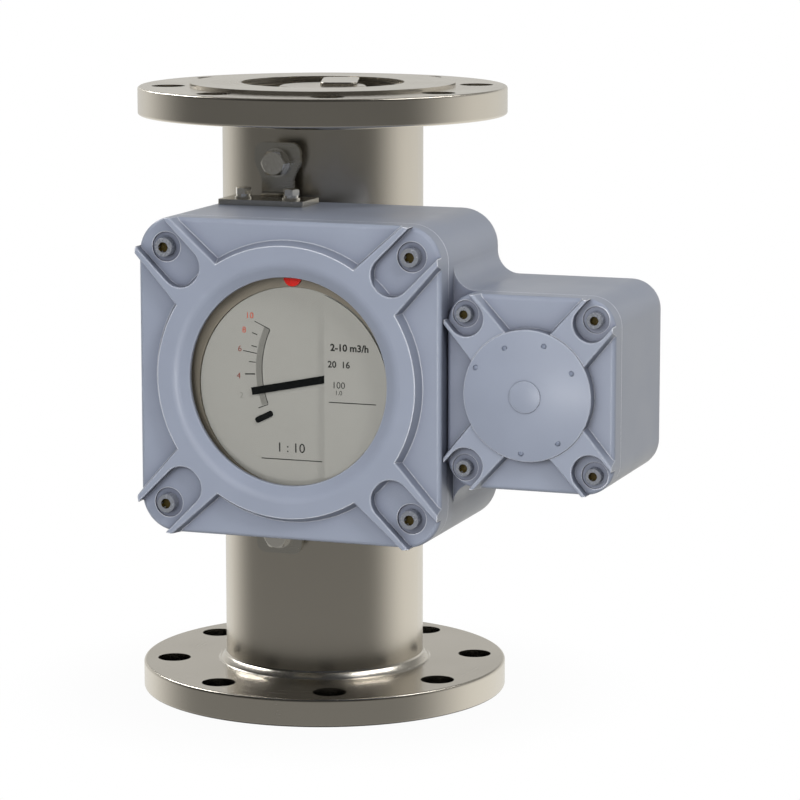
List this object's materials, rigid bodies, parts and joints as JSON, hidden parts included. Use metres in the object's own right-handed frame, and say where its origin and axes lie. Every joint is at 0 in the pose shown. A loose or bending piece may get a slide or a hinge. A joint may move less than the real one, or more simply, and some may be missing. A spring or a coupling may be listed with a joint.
{
  "type": "metal tube rotameter",
  "caption": "Flanged metal tube variable area flow meter: a float on a guide rod drives a dial pointer by magnet in a square housing with a side terminal compartment.",
  "frame": {"origin": "centre of the lower flange's raised face, on the tube axis", "axes": "+Z along the tube in the flow direction, -Y towards the reader of the dial, +X towards the terminal compartment"},
  "size_m": [0.323, 0.2725, 0.352],
  "materials": {
    "satin_stainless": "satin machined stainless steel",
    "screw_steel": "bright stainless fasteners",
    "housing_paint": "light blue-grey powder coat on die-cast aluminium",
    "window_glass": "clear flat glass",
    "black_rubber": "matt black rubber",
    "dial_grey": "matt light grey dial enamel",
    "carrier_taupe": "matt taupe moulded plastic",
    "red_plastic": "red moulded plastic",
    "black_paint": "matt black paint",
    "bare_aluminium": "plain rolled aluminium",
    "turned_brass": "turned brass",
    "magnet_iron": "dark nickel-coated magnet",
    "white_plastic": "white low-friction plastic",
    "terminal_plastic": "green terminal plastic",
    "nickel_plate": "nickel-plated brass"
  },
  "bodies": {
    "meter": {"blanking_plug": "nickel_plate", "block_screws": "screw_steel", "bolt_washers": "screw_steel", "bracket_bolts": "screw_steel", "brake_magnets": "magnet_iron", "brake_yoke": "bare_aluminium", "bumpers": "black_rubber", "cable_grommet": "black_rubber", "carrier_screws": "screw_steel", "clamp_ring": "bare_aluminium", "clamp_ring_screws": "screw_steel", "dial": "dial_grey", "dial_carrier": "carrier_taupe", "dial_screw": "red_plastic", "frame_pillars": "turned_brass", "frame_screws": "screw_steel", "front_plate": "bare_aluminium", "glass_seal": "black_rubber", "guide_rod": "satin_stainless", "housing_body": "housing_paint", "limit_mark": "black_paint", "lower_bracket": "satin_stainless", "lower_flange": "satin_stainless", "lower_guide": "satin_stainless", "main_cover": "housing_paint", "main_cover_screws": "screw_steel", "main_seal": "black_rubber", "measuring_tube": "satin_stainless", "metering_cone": "satin_stainless", "plate_screws": "screw_steel", "plate_washers": "screw_steel", "plug_seal": "black_rubber", "rear_plate": "bare_aluminium", "set_screws": "screw_steel", "shaft_bushes": "turned_brass", "side_plate": "dial_grey", "snap_rings": "satin_stainless", "spring_washers": "screw_steel", "stop_collars": "satin_stainless", "terminal_block": "terminal_plastic", "terminal_clamps": "turned_brass", "terminal_cover": "housing_paint", "terminal_cover_screws": "screw_steel", "terminal_seal": "black_rubber", "tube_bosses": "satin_stainless", "upper_bracket": "satin_stainless", "upper_flange": "satin_stainless", "upper_guide": "satin_stainless", "weld_beads": "satin_stainless", "window_glass": "window_glass"},
    "float": {"float_body": "satin_stainless", "float_head": "satin_stainless", "float_magnet": "magnet_iron", "float_bushes": "white_plastic"},
    "pointer": {"pointer": "black_paint", "pointer_shaft": "screw_steel", "follower_arm": "bare_aluminium", "follower_magnet": "magnet_iron", "counterweight": "turned_brass", "brake_disc": "bare_aluminium"}
  },
  "joints": [
    {"name": "float_slide", "type": "slide", "parent": "meter", "child": "float", "axis": [0, 0, 1], "range_m": [0, 0.048]},
    {"name": "pointer_swing", "type": "hinge", "parent": "meter", "child": "pointer", "pos_m": [0.075, -0.11, 0.2103], "axis": [0, 1, 0], "range_deg": [0, 41]}
  ],
  "couplings": [
    {"joint": "pointer_swing", "follows": "float_slide", "rad_per_m": 14.544}
  ]
}
